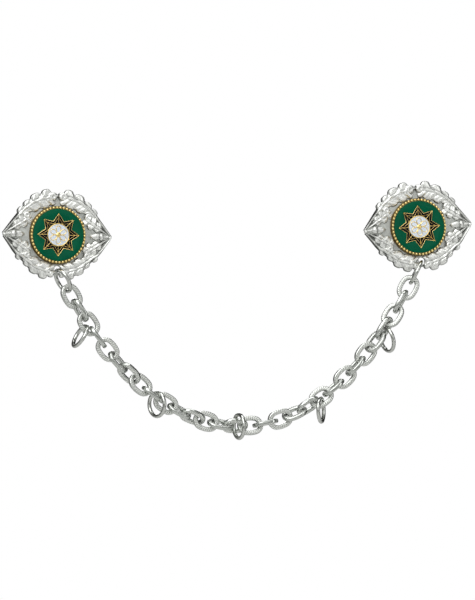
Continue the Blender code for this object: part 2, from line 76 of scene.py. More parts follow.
def editMode(kind, action):
    # edit mode with all the faces, edges or corners chosen, or none of them
    bpy.ops.object.mode_set(mode="EDIT")
    bpy.ops.mesh.select_mode(type=kind)
    bpy.ops.mesh.select_all(action=action)


def objectMode():
    bpy.ops.object.mode_set(mode="OBJECT")


def drawOut(x, y, z):
    # extrudes what is chosen by this much
    bpy.ops.mesh.extrude_region_move(TRANSFORM_OT_translate={"value": (x, y, z)})


def roundEdges(thing, wanted, width, segments):
    # bevels the edges whose middle passes the test
    only(thing)
    editMode("EDGE", "DESELECT")
    shape = bmesh.from_edit_mesh(thing.data)
    for edge in shape.edges:
        edge.select_set(wanted((edge.verts[0].co + edge.verts[1].co) / 2))
    bmesh.update_edit_mesh(thing.data)
    bpy.ops.mesh.bevel(offset=width, segments=segments, affect="EDGES")
    objectMode()


def tidyNormals(thing):
    # merges doubled corners and turns the faces outwards
    only(thing)
    editMode("VERT", "SELECT")
    bpy.ops.mesh.remove_doubles(threshold=weld)
    bpy.ops.mesh.normals_make_consistent(inside=False)
    objectMode()


def smooth(thing, degrees):
    only(thing)
    bpy.ops.object.shade_smooth_by_angle(angle=math.radians(degrees))
    return thing


def cutAway(thing, cutter):
    # takes the cutter's shape out of the thing
    only(thing)
    step = thing.modifiers.new("cut", "BOOLEAN")
    step.operation = "DIFFERENCE"
    step.solver = "EXACT"
    step.object = cutter
    bpy.ops.object.modifier_apply(modifier=step.name)
    bpy.data.objects.remove(cutter)


def joined(name, things):
    bpy.ops.object.select_all(action="DESELECT")
    for thing in things:
        thing.select_set(True)
    bpy.context.view_layer.objects.active = things[0]
    bpy.ops.object.join()
    return newest(name)


def corners(thing):
    flat = np.empty(len(thing.data.vertices) * 3)
    thing.data.vertices.foreach_get("co", flat)
    return flat.reshape(-1, 3)


def moveCorners(thing, places):
    thing.data.vertices.foreach_set("co", np.ascontiguousarray(places, dtype=np.float64).ravel())
    thing.data.update()


def mark(thing, name, values):
    # a number at each corner, for the materials to read
    layer = thing.data.attributes.new(name, "FLOAT", "POINT")
    layer.data.foreach_set("value", np.ascontiguousarray(values, dtype=np.float32).ravel())


def makeSlab(name, points, back, front):
    # a flat slab of the outline's shape, between two depths
    bpy.ops.mesh.primitive_circle_add(vertices=len(points), radius=1.0, fill_type="NGON")
    slab = newest(name)
    for corner, point in zip(slab.data.vertices, points):
        corner.co = (point[0], -back, point[1])
    editMode("FACE", "SELECT")
    drawOut(0, back - front, 0)
    objectMode()
    tidyNormals(slab)
    return slab


def copied(thing, name, placement):
    piece = added(name, thing.data.copy())
    piece.data.transform(placement)
    return piece


def finished(thing, finish, degrees):
    # one material all over, and smooth but for edges sharper than this
    thing.data.materials.clear()
    thing.data.materials.append(finishes[finish])
    return smooth(thing, degrees)


def shown(piece, slot, *standsFor):
    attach(piece, "root")
    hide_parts(*standsFor)


# materials

def colour(text):
    # an sRGB hex value as the linear colour that the shader takes
    levels = [int(text[i:i + 2], 16) / 255 for i in (1, 3, 5)]
    return [v / 12.92 if v <= 0.04045 else ((v + 0.055) / 1.055) ** 2.4 for v in levels] + [1.0]


def feed(tree, node, inputs):
    # what goes into a node's sockets: other nodes' outputs and plain values
    for key, source in inputs.items():
        if isinstance(source, bpy.types.NodeSocket):
            tree.links.new(source, node.inputs[key])
        else:
            node.inputs[key].default_value = source


# which output of a node is used, where it isn't the first; a mix takes its share at socket 0 and its
# two colours at 6 and 7
usedOutput = {"TexCoord": "Object", "Attribute": "Fac", "Mix": 2}


def addNode(tree, kind, inputs=None, **settings):
    # one node with its settings and what goes into it, given by the output that is used
    node = tree.nodes.new("ShaderNode" + kind)
    for key, value in settings.items():
        setattr(node, key, value)
    feed(tree, node, inputs or {})
    return node.outputs[usedOutput.get(kind, 0)]


def startMaterial(name):
    material = bpy.data.materials.new(name)
    material.use_nodes = True
    tree = material.node_tree
    return material, tree, tree.nodes["Principled BSDF"], addNode(tree, "TexCoord")


# grains and marks are drawn coarser than the real ones, which are too fine to show
silverLooks = {
    # the casting: its high forms, its hollows darkened by tarnish and by painted shade, and how much a cloud
    # darkens or clears it
    "light": "#fafbf8", "tarnishAndShade": "#454742", "castRoughness": 0.44,
    "castGrain": 0.35 * mm, "castCloud": 6.0 * mm, "cloudTarnish": 0.22, "cloudClear": 0.09,
    # the matt seat behind the leaves
    "plateLight": "#d6d8d4", "plateDark": "#b4b6b1", "plateRoughness": 0.5, "plateGrain": 0.25 * mm,
    # the links: polished sides, given a darker colour than the knurled flats as painted shade, and the dark
    # of painted shade in the knurl and along the flats' edges and of dirt inside the ends
    "side": "#c8cbc7", "flat": "#eceeea", "grimeAndShade": "#4e514c",
    "knurlRoughness": 0.46, "knurlGrain": 0.3 * mm,
    # the rings' round wire and the marks of handling on it, as polished as the links' sides
    "wire": "#d8dad6", "handled": "#babcb8", "polishRoughness": 0.09, "marks": 0.5 * mm,
}


def castSilver():
    # silver-plated brass, cast and chased: bright on the high forms, darker in the hollows, partly tarnish
    # where cloth can't reach and partly painted shade
    v = silverLooks
    material, tree, shader, place = startMaterial("castSilverPlate")
    # the mark on each mesh: tarnish and painted shade in the creases, painted shade in the veins, rims, pits
    # and grooves
    patinaAndShade = addNode(tree, "Attribute", attribute_name="patinaAndShade")
    grain = addNode(tree, "TexNoise", {
        "Vector": place, "Scale": 1 / v["castGrain"], "Detail": 3.0, "Roughness": 0.6})
    cloud = addNode(tree, "TexNoise", {"Vector": place, "Scale": 1 / v["castCloud"], "Detail": 2.0})
    dirt = addNode(tree, "Math", {0: cloud, 1: v["cloudTarnish"], 2: -v["cloudClear"]},
                   operation="MULTIPLY_ADD", use_clamp=True)
    dark = addNode(tree, "Math", {0: patinaAndShade, 1: dirt}, operation="ADD", use_clamp=True)
    tone = addNode(tree, "Mix", {0: dark, 6: colour(v["light"]), 7: colour(v["tarnishAndShade"])}, data_type="RGBA")
    rough = v["castRoughness"]
    gloss = addNode(tree, "MapRange", {
        "Value": grain, "From Min": 0.3, "From Max": 0.7, "To Min": rough - 0.05, "To Max": rough + 0.08})
    bump = addNode(tree, "Bump", {"Height": grain, "Strength": 0.35, "Distance": 0.03 * mm})
    feed(tree, shader, {"Base Color": tone, "Metallic": 1.0, "Roughness": gloss, "Normal": bump})
    return material


def plateSilver():
    # the same plating left matt and finely grained by the mould, on the flat seat behind the leaves
    v = silverLooks
    material, tree, shader, place = startMaterial("mattSilverPlate")
    grain = addNode(tree, "TexNoise", {"Vector": place, "Scale": 1 / v["plateGrain"], "Detail": 4.0})
    tone = addNode(tree, "Mix", {0: grain, 6: colour(v["plateDark"]), 7: colour(v["plateLight"])},
                   data_type="RGBA")
    bump = addNode(tree, "Bump", {"Height": grain, "Strength": 0.6, "Distance": 0.04 * mm})
    feed(tree, shader, {
        "Base Color": tone, "Metallic": 1.0, "Roughness": v["plateRoughness"], "Normal": bump})
    return material


def linkSilver():
    # silver-plated wire: the flats knurled and a little dull, the sides polished by wear and painted darker
    # as shade
    v = silverLooks
    material, tree, shader, place = startMaterial("knurledSilverPlate")
    knurl = addNode(tree, "Attribute", attribute_name="knurl")
    grimeAndShade = addNode(tree, "Attribute", attribute_name="grimeAndShade")
    fine = addNode(tree, "TexNoise", {"Vector": place, "Scale": 1 / v["knurlGrain"], "Detail": 3.0})
    # painted shade in the knurl's grooves and along the flats' edges, and dirt where the links rub
    deep = addNode(tree, "MapRange", {"Value": grimeAndShade, "From Min": 0.35, "From Max": 1.0})
    # the sides darker than the flats: painted shade
    bare = addNode(tree, "Mix", {0: knurl, 6: colour(v["side"]), 7: colour(v["flat"])}, data_type="RGBA")
    tone = addNode(tree, "Mix", {0: deep, 6: bare, 7: colour(v["grimeAndShade"])}, data_type="RGBA")
    gloss = addNode(tree, "MapRange", {
        "Value": knurl, "To Min": v["polishRoughness"], "To Max": v["knurlRoughness"]})
    strength = addNode(tree, "MapRange", {"Value": knurl, "To Min": 0.02, "To Max": 0.5})
    bump = addNode(tree, "Bump", {"Height": fine, "Strength": strength, "Distance": 0.03 * mm})
    feed(tree, shader, {"Base Color": tone, "Metallic": 1.0, "Roughness": gloss, "Normal": bump})
    return material


def ringSilver():
    # silver-plated round wire, drawn and polished, with the faint marks of handling
    v = silverLooks
    material, tree, shader, place = startMaterial("polishedSilverPlate")
    marks = addNode(tree, "TexNoise", {
        "Vector": place, "Scale": 1 / v["marks"], "Detail": 5.0, "Roughness": 0.7})
    rough = v["polishRoughness"]
    gloss = addNode(tree, "MapRange", {
        "Value": marks, "From Min": 0.4, "From Max": 0.7, "To Min": rough - 0.02, "To Max": rough + 0.08})
    tone = addNode(tree, "Mix", {0: marks, 6: colour(v["wire"]), 7: colour(v["handled"])}, data_type="RGBA")
    bump = addNode(tree, "Bump", {"Height": marks, "Strength": 0.15, "Distance": 0.01 * mm})
    feed(tree, shader, {"Base Color": tone, "Metallic": 1.0, "Roughness": gloss, "Normal": bump})
    return material


giltLooks = {
    # groove: the colour of painted shade in the medallion's hollows
    "gold": "#fff0aa", "deepGold": "#f6cd78", "groove": "#2e1a0c",
    "polished": 0.26, "dull": 0.36,  # roughness where the cloud is thin and where it is thick
    "cloud": 1.5 * mm,
}


def gilding():
    # gold plate over brass, polished on the beads and wires, darker where it meets the enamel as painted
    # shade, with painted shade between the beads, over the disc and on the collar
    v = giltLooks
    material, tree, shader, place = startMaterial("polishedGilding")
    cloud = addNode(tree, "TexNoise", {"Vector": place, "Scale": 1 / v["cloud"], "Detail": 2.0})
    # painted shade, marked on each gilt mesh
    depth = addNode(tree, "Attribute", attribute_name="patinaAndShade")
    warm = addNode(tree, "Mix", {0: cloud, 6: colour(v["gold"]), 7: colour(v["deepGold"])},
                   data_type="RGBA")
    tone = addNode(tree, "Mix", {0: depth, 6: warm, 7: colour(v["groove"])}, data_type="RGBA")
    gloss = addNode(tree, "MapRange", {
        "Value": cloud, "From Min": 0.3, "From Max": 0.7, "To Min": v["polished"], "To Max": v["dull"]})
    feed(tree, shader, {"Base Color": tone, "Metallic": 1.0, "Roughness": gloss})
    return material


enamelLooks = {
    # each glass where it looks deep and where it looks bright
    "green": ("#004a33", "#006042"), "black": ("#08090d", "#101218"), "white": ("#d3deee", "#e9f0f8"),
    "cloud": 5.0 * mm, "ripple": 1.2 * mm,
    "roughness": 0.12, "ior": 1.5, "specular": 0.1,
}


def enamel(name):
    # glass enamel fired into its cell: a nearly even colour, a wet gloss and a faint ripple
    v = enamelLooks
    deep, bright = v[name]
    material, tree, shader, place = startMaterial(name + "Enamel")
    cloud = addNode(tree, "TexNoise", {"Vector": place, "Scale": 1 / v["cloud"], "Detail": 2.0})
    tone = addNode(tree, "Mix", {0: cloud, 6: colour(deep), 7: colour(bright)}, data_type="RGBA")
    ripple = addNode(tree, "TexNoise", {"Vector": place, "Scale": 1 / v["ripple"], "Detail": 1.0})
    bump = addNode(tree, "Bump", {"Height": ripple, "Strength": 0.15, "Distance": 0.02 * mm})
    feed(tree, shader, {
        "Base Color": tone, "Roughness": v["roughness"], "IOR": v["ior"],
        "Specular IOR Level": v["specular"], "Normal": bump})
    return material


steelLooks = {"light": "#a9abad", "dull": "#7d8083", "roughness": 0.3, "marks": 0.4 * mm}


def pinSteel():
    # drawn steel wire, dull from use
    v = steelLooks
    material, tree, shader, place = startMaterial("drawnSteel")
    marks = addNode(tree, "TexNoise", {"Vector": place, "Scale": 1 / v["marks"], "Detail": 4.0})
    tone = addNode(tree, "Mix", {0: marks, 6: colour(v["light"]), 7: colour(v["dull"])}, data_type="RGBA")
    feed(tree, shader, {"Base Color": tone, "Metallic": 1.0, "Roughness": v["roughness"]})
    return material


finishes = {
    "cast": castSilver(), "plate": plateSilver(), "link": linkSilver(), "ring": ringSilver(),
    "gilt": gilding(), "green": enamel("green"), "black": enamel("black"), "white": enamel("white"),
    "steel": pinSteel(),
}
print("materials made")


# chain links

linkSizes = {
    "length": 11.65 * mm, "width": 8.8 * mm, "wire": 2.1 * mm, "depth": 2.0 * mm,
    "squareness": 3.0,  # 2 gives a round wire, more gives flatter faces
    "endRadius": 3.2 * mm,  # of the wire's centre line round each end
    "endSteps": 84, "sideSteps": 62, "sectionCorners": 24,
    "ridges": 29,  # the real knurl is near 0.65 mm a ridge, drawn at 0.9 mm so that it shows
    "ridgeDepth": 0.08 * mm, "slant": 1.7 * mm,
    "flatStart": 0.7, "flatFade": 0.25,  # where the knurl begins, in shares of the half depth
    "rubStart": 0.2, "rubFade": 0.5,  # the rubbed inside of the ends: share of the half wire, and radians
    "brim": 0.9, "brimWidth": 0.07,  # the painted dark line of shade beside each flat, in shares of the half wire
    # how dark the painted shade in the knurl, the dirt rubbed inside the ends and the painted shade along the
    # flats are
    "knurlShade": 0.78, "rubDark": 0.8, "edgeShade": 0.8,
}


def makeLink():
    v = linkSizes
    halfLong = (v["length"] - v["wire"]) / 2
    halfWide = (v["width"] - v["wire"]) / 2
    endX = halfLong - v["endRadius"]
    # the bow of the long sides, so that they meet the ends without a corner
    bow = (endX ** 2 + halfWide ** 2 - v["endRadius"] ** 2) / (2 * (halfWide - v["endRadius"]))
    turn = math.atan2(bow - halfWide, endX)
    bpy.ops.mesh.primitive_circle_add(vertices=v["sectionCorners"], radius=1.0, rotation=toFront)
    link = newest("link")
    places = corners(link)
    squared = places / ((np.abs(places) ** v["squareness"]).sum(1) ** (1 / v["squareness"]))[:, None]
    squared[:, 0] = squared[:, 0] * v["wire"] / 2 + halfLong
    squared[:, 2] *= v["depth"] / 2
    moveCorners(link, squared)
    # the section goes round the end, along the side, and so on: four arcs that meet smoothly
    editMode("VERT", "SELECT")
    sideTurn = math.pi - 2 * turn
    first, side = v["endSteps"] // 2, v["sideSteps"]
    arcs = (
        (first, turn, endX, 0.0),
        (side, sideTurn, 0.0, halfWide - bow),
        (2 * first, 2 * turn, -endX, 0.0),
        (side, sideTurn, 0.0, bow - halfWide),
        (first, turn, endX, 0.0),
    )
    for steps, angle, middleX, middleY in arcs:
        bpy.ops.mesh.spin(steps=steps, angle=-angle, center=(middleX, middleY, 0.0), axis=(0, 0, 1))
    objectMode()
    tidyNormals(link)
    knurlFlats(link, endX, halfWide - bow, turn, bow)
    return finished(link, "link", degrees=60)


def knurlFlats(link, endX, sideY, turn, bow):
    # slanted ridges rolled into both flats, at even steps along the wire
    v = linkSizes
    places = corners(link)
    x, y, z = places.T
    endAngle = np.arctan2(np.abs(y), np.abs(x) - endX)
    sideAngle = np.arctan2(np.abs(x), np.abs(y) - sideY)
    onEnd = endAngle < turn
    quarter = v["endRadius"] * turn + bow * (math.pi / 2 - turn)
    run = np.where(onEnd, v["endRadius"] * endAngle, quarter - bow * sideAngle)
    run = np.where(x < 0, 2 * quarter - run, run)
    run = np.where(y < 0, 4 * quarter - run, run)
    off = np.where(onEnd, np.hypot(np.abs(x) - endX, y) - v["endRadius"],
                   np.hypot(x, np.abs(y) - sideY) - bow)
    flat = np.clip((np.abs(z) / (v["depth"] / 2) - v["flatStart"]) / v["flatFade"], 0, 1)
    phase = 2 * np.pi * (v["ridges"] * run / (4 * quarter) + off / v["slant"] * np.sign(z))
    ridge = np.cos(phase)
    places[:, 2] += np.sign(z) * flat * v["ridgeDepth"] * (ridge - 1) / 2
    moveCorners(link, places)
    mark(link, "knurl", flat)
    # painted shade in the knurl's grooves, dirt inside the ends where the links rub, and a painted dark line
    # of shade along each side of the flats
    aside = off / (v["wire"] / 2)
    rubbed = np.clip(-aside - v["rubStart"], 0, 1) * np.clip((turn - endAngle) / v["rubFade"], 0, 1) * onEnd
    brim = np.exp(-((np.abs(aside) - v["brim"]) / v["brimWidth"]) ** 2)
    mark(link, "grimeAndShade", np.maximum.reduce((
        v["knurlShade"] * flat * (1 - ridge) / 2, v["rubDark"] * rubbed, v["edgeShade"] * brim)))


def loopPlacement(node, hangs):
    # the middle and the lie of a CAD loop: its flat side along the thinnest way through its corners
    co = np.array([v.co for v in node.data.vertices])
    co = np.unique(np.round(co, 7), axis=0)
    middle = co.mean(0)
    axes = np.linalg.svd(co - middle, full_matrices=False)[2]
    long = Vector(axes[0])
    flat = Vector(axes[2])
    if hangs:
        # a ring's joint is turned up, to where it hangs
        long = (Vector((0.0, 0.0, 1.0)) - flat * flat.z).normalized()
    if flat.y > 0:
        flat = -flat
    turned = Matrix((long, flat.cross(long), flat)).transposed().to_4x4()
    return Matrix.Translation(Vector(middle)) @ turned


def hangLinks():
    link = makeLink()
    for name in sorted(nodes):
        if name.startswith("link_"):
            piece = copied(link, "knurled_" + name, loopPlacement(nodes[name], False))
            shown(piece, "silver", name)
    bpy.data.objects.remove(link)
    print("links hung")


# plain rings

ringSizes = {
    "diameter": 12.0 * mm, "wire": 1.7 * mm, "sectionCorners": 24, "steps": 84,
    "joint": 1.2,  # degrees left open where the ring was closed with pliers
    "edge": 0.06 * mm,  # the rounding of the cut ends
}


def makeRing():
    v = ringSizes
    radius = (v["diameter"] - v["wire"]) / 2
    bpy.ops.mesh.primitive_circle_add(
        vertices=v["sectionCorners"], radius=v["wire"] / 2, fill_type="NGON",
        location=(radius, 0, 0), rotation=toFront)
    ring = newest("ring")
    # a copy of the section goes round, and the section itself stays behind as the first cut end
    editMode("FACE", "SELECT")
    bpy.ops.mesh.duplicate()
    bpy.ops.mesh.hide(unselected=True)
    bpy.ops.mesh.spin(steps=v["steps"], angle=math.radians(360 - v["joint"]),
                      center=(0, 0, 0), axis=(0, 0, 1))
    bpy.ops.mesh.reveal(select=False)
    objectMode()
    tidyNormals(ring)
    # the cut ends lie just to the two sides of the x axis
    closeBy = 1.5 * math.radians(v["joint"])
    roundEdges(ring, lambda at: abs(math.atan2(at.y, at.x)) < closeBy, v["edge"], segments=2)
    return finished(ring, "ring", degrees=50)


def hangRings():
    ring = makeRing()
    for name in sorted(nodes):
        if "ring_" in name:
            piece = copied(ring, "polished_" + name, loopPlacement(nodes[name], True))
            shown(piece, "silver", name)
    bpy.data.objects.remove(ring)
    print("rings hung")


# rosette casting: x to the right, z up and the front towards -y, about the medallion's middle

leafSizes = {
    "halfLength": 25.0 * mm, "halfHeight": 19.7 * mm, "reach": 4.0 * mm,
    "clear": 12.9 * mm,  # from the middle to the nearest leaf, so that the medallion drops in
    # heights over the back: the leaves' foot, the plate, and the leaf in a notch, on a lobe and on the rib;
    # then the least thickness of a leaf and the round edge of the plate
    "foot": 0.35 * mm, "seat": 1.3 * mm, "notchHeight": 1.45 * mm, "lobeHeight": 1.8 * mm,
    "ribHeight": 2.55 * mm, "thinnest": 0.3 * mm, "plateEdge": 0.2 * mm,
    "tipHeight": 0.25, "tipLength": 0.35,  # the share of its height at the side tip, and where it is full
    # the relief; a leaf narrower than fullReach has less of it
    "fullReach": 3.0 * mm, "dome": 0.42 * mm, "crease": 0.55 * mm,
    "shoulder": 0.35 * mm, "shoulderStart": 0.86, "shoulderWidth": 0.14,
    "ribRidge": 0.24 * mm, "ribWidth": 0.28 * mm, "ribFade": 0.6,
    "grooveAway": 2.3, "grooveDepth": 0.9,  # beside the rib, in rib widths and in rib ridges
    "vein": 0.11 * mm, "veinStart": 0.12, "veinRise": 0.15, "veinEnd": 0.92, "veinFall": 0.2,
    # along a lobe, in its half widths: its veins, the finer lines, and how far its crown runs either way
    "veinSpread": 0.8, "veinStep": 0.9, "lineStep": 0.22, "lineDepth": 0.3,
    "crownBehind": 0.85, "crownAhead": 1.3,
    "lobeFlat": 3.2, "lobeRound": 0.6,  # powers that shape a lobe's outline
    "fallPower": 1.5, "domePower": 0.75, "creasePower": 0.6,  # powers that shape a cut from rib to rim
    "spineSteps": 24, "spineAim": 0.02,
}
# how dark the tarnish and painted shade are, where they start and how they fade: partly tarnish and partly
# painted shade in the creases, painted shade in the veins, round the rim and in the groove beside the rib
leafTarnishAndShade = {
    "outerCrease": 0.85, "outerPower": 2.2, "innerCrease": 0.7, "innerPower": 4, "creaseRise": 1.6,
    "vein": 0.12, "rim": 0.8, "rimStart": 0.88, "rimWidth": 0.1,
    "groove": 0.55, "grooveWidth": 0.6, "grooveRise": 4,
}
# spines run from the side tip along the midrib, in shares of the half length and half height; a waist is
# (share along the spine, reach) between the lobes, a lobe is (share along the spine, half width as such a
# share, reach), each reach a share of the full one, and the end of the leaf starts to round off at the
# share "rounding"
leaves = {
    "upper": {
        "spine": ((0.98, 0.01), (0.772, 0.325), (0.588, 0.574), (0.408, 0.736), (0.224, 0.817), (0.0, 0.868)),
        "outerWaist": ((0.0, 0.07), (0.3, 0.2), (0.477, 0.3), (0.613, 0.47), (0.77, 0.6), (0.9, 0.4),
                       (1.0, 0.38)),
        "innerWaist": ((0.0, 0.12), (0.12, 0.3), (0.3, 0.42), (0.45, 0.6), (0.54, 0.8), (0.72, 1.02),
                       (0.88, 0.92), (0.95, 0.55), (1.0, 0.14)),
        "outer": ((0.42, 0.065, 0.51), (0.545, 0.07, 0.6), (0.69, 0.085, 0.8), (0.845, 0.08, 0.93),
                  (0.96, 0.05, 0.44)),
        "inner": ((0.45, 0.10, 0.55), (0.61, 0.10, 1.08), (0.78, 0.10, 1.22), (0.91, 0.055, 1.0)),
        "slant": 0.09, "rounding": 0.965, "along": 170, "across": 45,
    },
    "upperInner": {
        "spine": ((0.90, 0.06), (0.77, 0.16), (0.66, 0.245), (0.565, 0.325), (0.485, 0.40)),
        "outerWaist": ((0.0, 0.08), (0.3, 0.4), (0.6, 0.66), (1.0, 0.7)),
        "innerWaist": ((0.0, 0.08), (0.3, 0.3), (0.6, 0.48), (1.0, 0.55)),
        "outer": ((0.42, 0.14, 0.64), (0.67, 0.14, 0.95), (0.9, 0.12, 0.98)),
        "inner": ((0.38, 0.13, 0.48), (0.64, 0.14, 0.7), (0.9, 0.13, 0.82)),
        "slant": 0.12, "rounding": 0.95, "along": 80, "across": 33,
    },
    "lowerInner": {
        "spine": ((0.895, -0.07), (0.77, -0.165), (0.67, -0.245), (0.58, -0.315), (0.495, -0.39)),
        "outerWaist": ((0.0, 0.08), (0.3, 0.36), (0.6, 0.55), (1.0, 0.55)),
        "innerWaist": ((0.0, 0.08), (0.3, 0.34), (0.6, 0.52), (1.0, 0.55)),
        "outer": ((0.40, 0.13, 0.56), (0.65, 0.14, 0.78), (0.9, 0.12, 0.8)),
        "inner": ((0.44, 0.14, 0.62), (0.7, 0.14, 0.8), (0.92, 0.12, 0.84)),
        "slant": 0.12, "rounding": 0.95, "along": 80, "across": 33,
    },
    "lower": {
        "spine": ((0.965, -0.05), (0.84, -0.244), (0.736, -0.401), (0.576, -0.543), (0.412, -0.695),
                  (0.256, -0.772), (0.12, -0.81), (0.03, -0.825)),
        "outerWaist": ((0.0, 0.07), (0.3, 0.2), (0.42, 0.3), (0.6, 0.5), (0.727, 0.7), (0.91, 0.5),
                       (1.0, 0.25)),
        "innerWaist": ((0.0, 0.12), (0.12, 0.28), (0.3, 0.38), (0.55, 0.74), (0.75, 0.92), (0.9, 0.9),
                       (1.0, 0.6)),
        "outer": ((0.385, 0.055, 0.53), (0.545, 0.065, 0.58), (0.685, 0.08, 0.8), (0.83, 0.08, 0.95),
                  (0.945, 0.055, 0.6)),
        "inner": ((0.46, 0.09, 0.55), (0.63, 0.1, 1.02), (0.81, 0.1, 1.05), (0.95, 0.05, 0.9)),
        "slant": 0.09, "rounding": 0.965, "along": 170, "across": 45,
    },
}
# the right half of the plate, in shares of the half length and half height
plateOutline = ((0.0, 0.895), (0.11, 0.88), (0.23, 0.85), (0.42, 0.75), (0.60, 0.575), (0.78, 0.325),
                (0.975, -0.015), (0.85, -0.235), (0.74, -0.4), (0.58, -0.56), (0.41, -0.72), (0.26, -0.845),
                (0.12, -0.885), (0.0, -0.89))
curlSizes = {
    # knobs and curled lobe ends: across, up, radius and depth of the pit in the roll, in mm
    "places": ((2.3, 16.8, 1.8, 0.6), (13.9, 8.3, 1.6, 0.7), (13.5, -8.8, 1.45, 0.6), (23.9, -0.3, 0.6, 0.0),
               (2.4, -17.0, 1.1, 0.3)),
    "height": 2.0 * mm,  # of the middle over the back
    # in shares of the radius: how far it bulges, the pit's width and where the painted dark rim of shade
    # starts
    "front": 0.55, "back": 0.1, "pit": 0.3, "rimStart": 0.85, "curlRimShade": 3,
    "segments": 28, "rings": 18,
}
# the chain's hole, from the middle of the casting
holeSizes = {"across": 0.5 * mm, "down": 14.91 * mm, "radius": 1.55 * mm, "length": 12 * mm, "corners": 48}


def spineCurve(knots, shares):
    # evenly spaced points and directions on a smooth line through the knots
    knots = np.array(knots)
    ends = np.vstack([2 * knots[0] - knots[1], knots, 2 * knots[-1] - knots[-2]])
    line = []
    for part in range(len(knots) - 1):
        before, first, second, after = ends[part:part + 4]
        bend = 2 * before - 5 * first + 4 * second - after
        twist = 3 * first - before - 3 * second + after
        for t in np.linspace(0, 1, leafSizes["spineSteps"], endpoint=False):
            line.append(0.5 * (2 * first + (second - before) * t + bend * t ** 2 + twist * t ** 3))
    line = np.array(line + [knots[-1]])
    run = np.concatenate([[0], np.cumsum(np.linalg.norm(np.diff(line, axis=0), axis=1))])
    shares = shares * run[-1]
    aim = leafSizes["spineAim"] * run[-1]
    points, ahead, behind = (
        np.stack([np.interp(shares + step, run, line[:, k]) for k in (0, 1)], axis=1)
        for step in (0, aim, -aim)
    )
    ways = ahead - behind
    return points, ways / np.linalg.norm(ways, axis=1)[:, None]


def edgeReach(leaf, edge, share):
    # how far the leaf reaches to one side of its spine, by its waist, its lobes and its round end
    v = leafSizes
    reach = np.interp(share, *zip(*leaf[edge + "Waist"]))
    for centre, halfWidth, lobe in leaf[edge]:
        bulge = np.clip(1 - np.abs((share - centre) / halfWidth) ** v["lobeFlat"], 0, 1) ** v["lobeRound"]
        reach = np.maximum(reach, lobe * bulge)
    beyond = np.clip((share - leaf["rounding"]) / (1 - leaf["rounding"]), 0, 1)
    return reach * np.sqrt(1 - beyond ** 2) * v["reach"]


def lobeShare(leaf, edge, share):
    # 1 on the crown of a lobe, 0 in the crease before it; each lobe laps over the one before
    found = np.zeros_like(share)
    for centre, halfWidth, _ in leaf[edge]:
        away = (share - centre) / halfWidth
        away = np.where(away < 0, -away / leafSizes["crownBehind"], away / leafSizes["crownAhead"])
        found = np.maximum(found, np.cos(np.clip(away, 0, 1) * np.pi / 2))
    return found


def veinLines(leaf, edge, share):
    # the side vein of each lobe and the finer chased lines beside it
    v = leafSizes
    found = np.zeros_like(share)
    for centre, halfWidth, _ in leaf[edge]:
        away = (share - centre) / halfWidth
        vein = np.cos(away * 2 * np.pi / v["veinStep"])
        line = v["lineDepth"] * np.cos(away * 2 * np.pi / v["lineStep"])
        found += np.exp(-(away / v["veinSpread"]) ** 2) * (vein + line)
    return found


